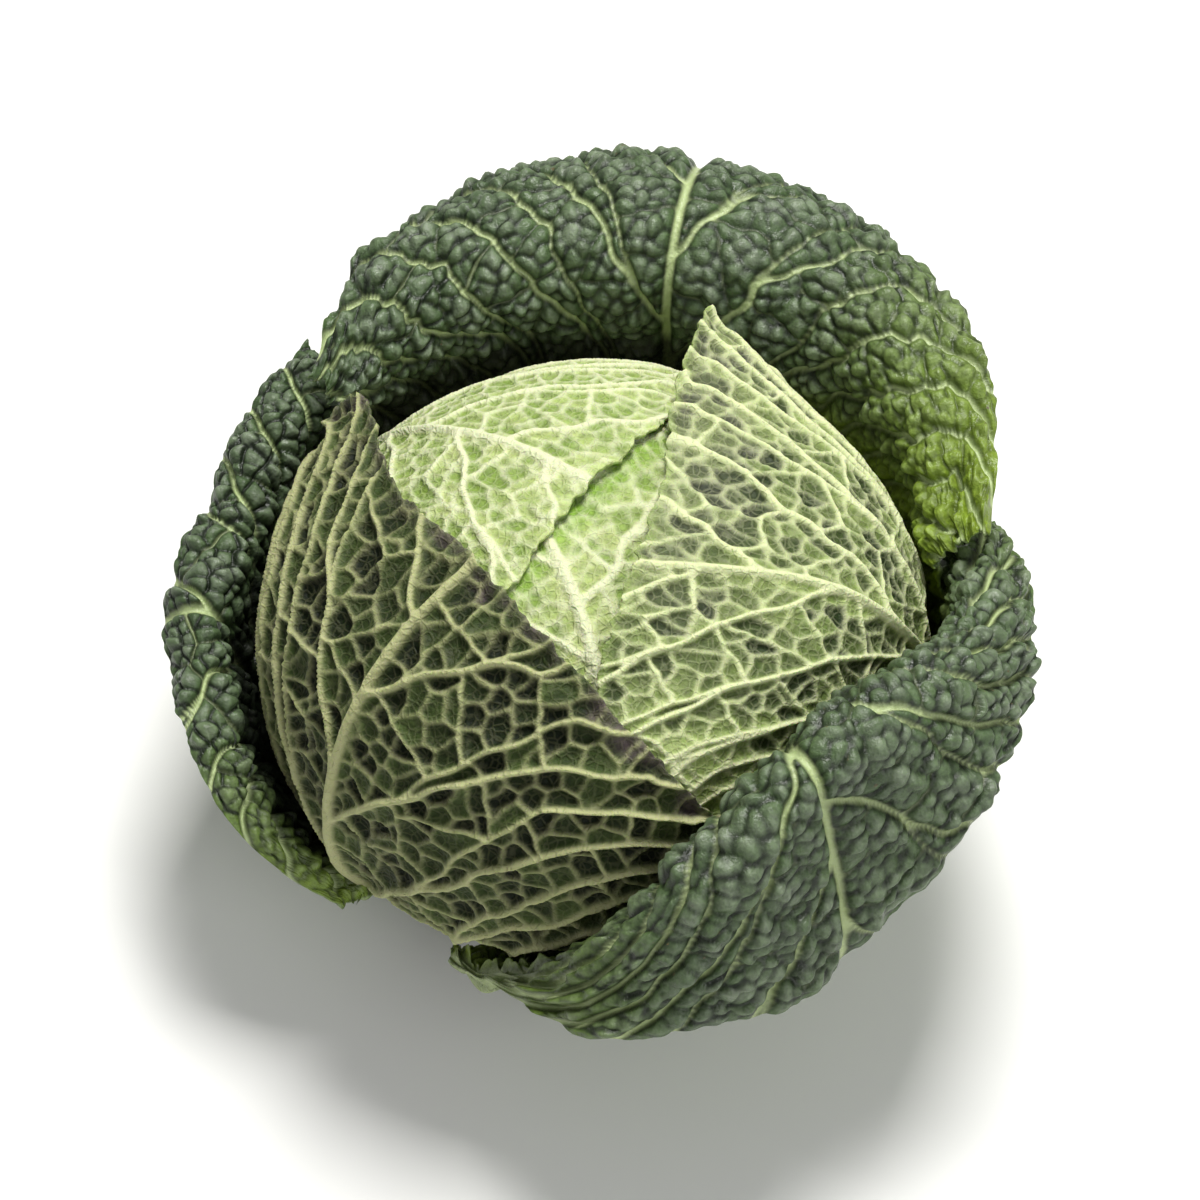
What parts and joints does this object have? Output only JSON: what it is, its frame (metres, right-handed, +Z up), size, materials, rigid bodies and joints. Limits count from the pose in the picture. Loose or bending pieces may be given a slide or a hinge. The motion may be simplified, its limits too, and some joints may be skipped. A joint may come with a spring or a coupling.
{
  "type": "savoy cabbage",
  "caption": "Savoy cabbage head with crinkled wrapper leaves, loose rolled outer leaves and a trimmed stem it stands on.",
  "frame": {"origin": "centre of the stem's cut face, which the cabbage stands on", "axes": "+Z up along the stem, -Y towards the open front leaf, +X to the right as seen from the front"},
  "size_m": [0.2347, 0.2686, 0.1474],
  "materials": {
    "stem": "freshly cut pale green-white stem, dull and slightly fibrous",
    "heart": "pale yellow-green tight leaves, soft sheen",
    "pale_leaf": "pale yellow-green crinkled leaf with near-white veins, soft sheen",
    "right_wrapper_leaf": "light green underside, pale raised veins, grey-purple tint at the edge, soft sheen",
    "left_wrapper_leaf": "olive green underside with cream raised veins and dark pits, soft sheen",
    "outer_leaf": "dark blue-green blistered upper side with a waxy bloom, thin pale veins"
  },
  "bodies": {
    "root": {"stem": "stem", "heart": "heart", "inner_leaf": "pale_leaf", "crown_leaf": "pale_leaf", "right_head_leaf": "right_wrapper_leaf", "left_head_leaf": "left_wrapper_leaf", "back_outer_leaf": "outer_leaf", "front_outer_leaf": "outer_leaf", "left_outer_leaf": "outer_leaf"}
  },
  "joints": []
}
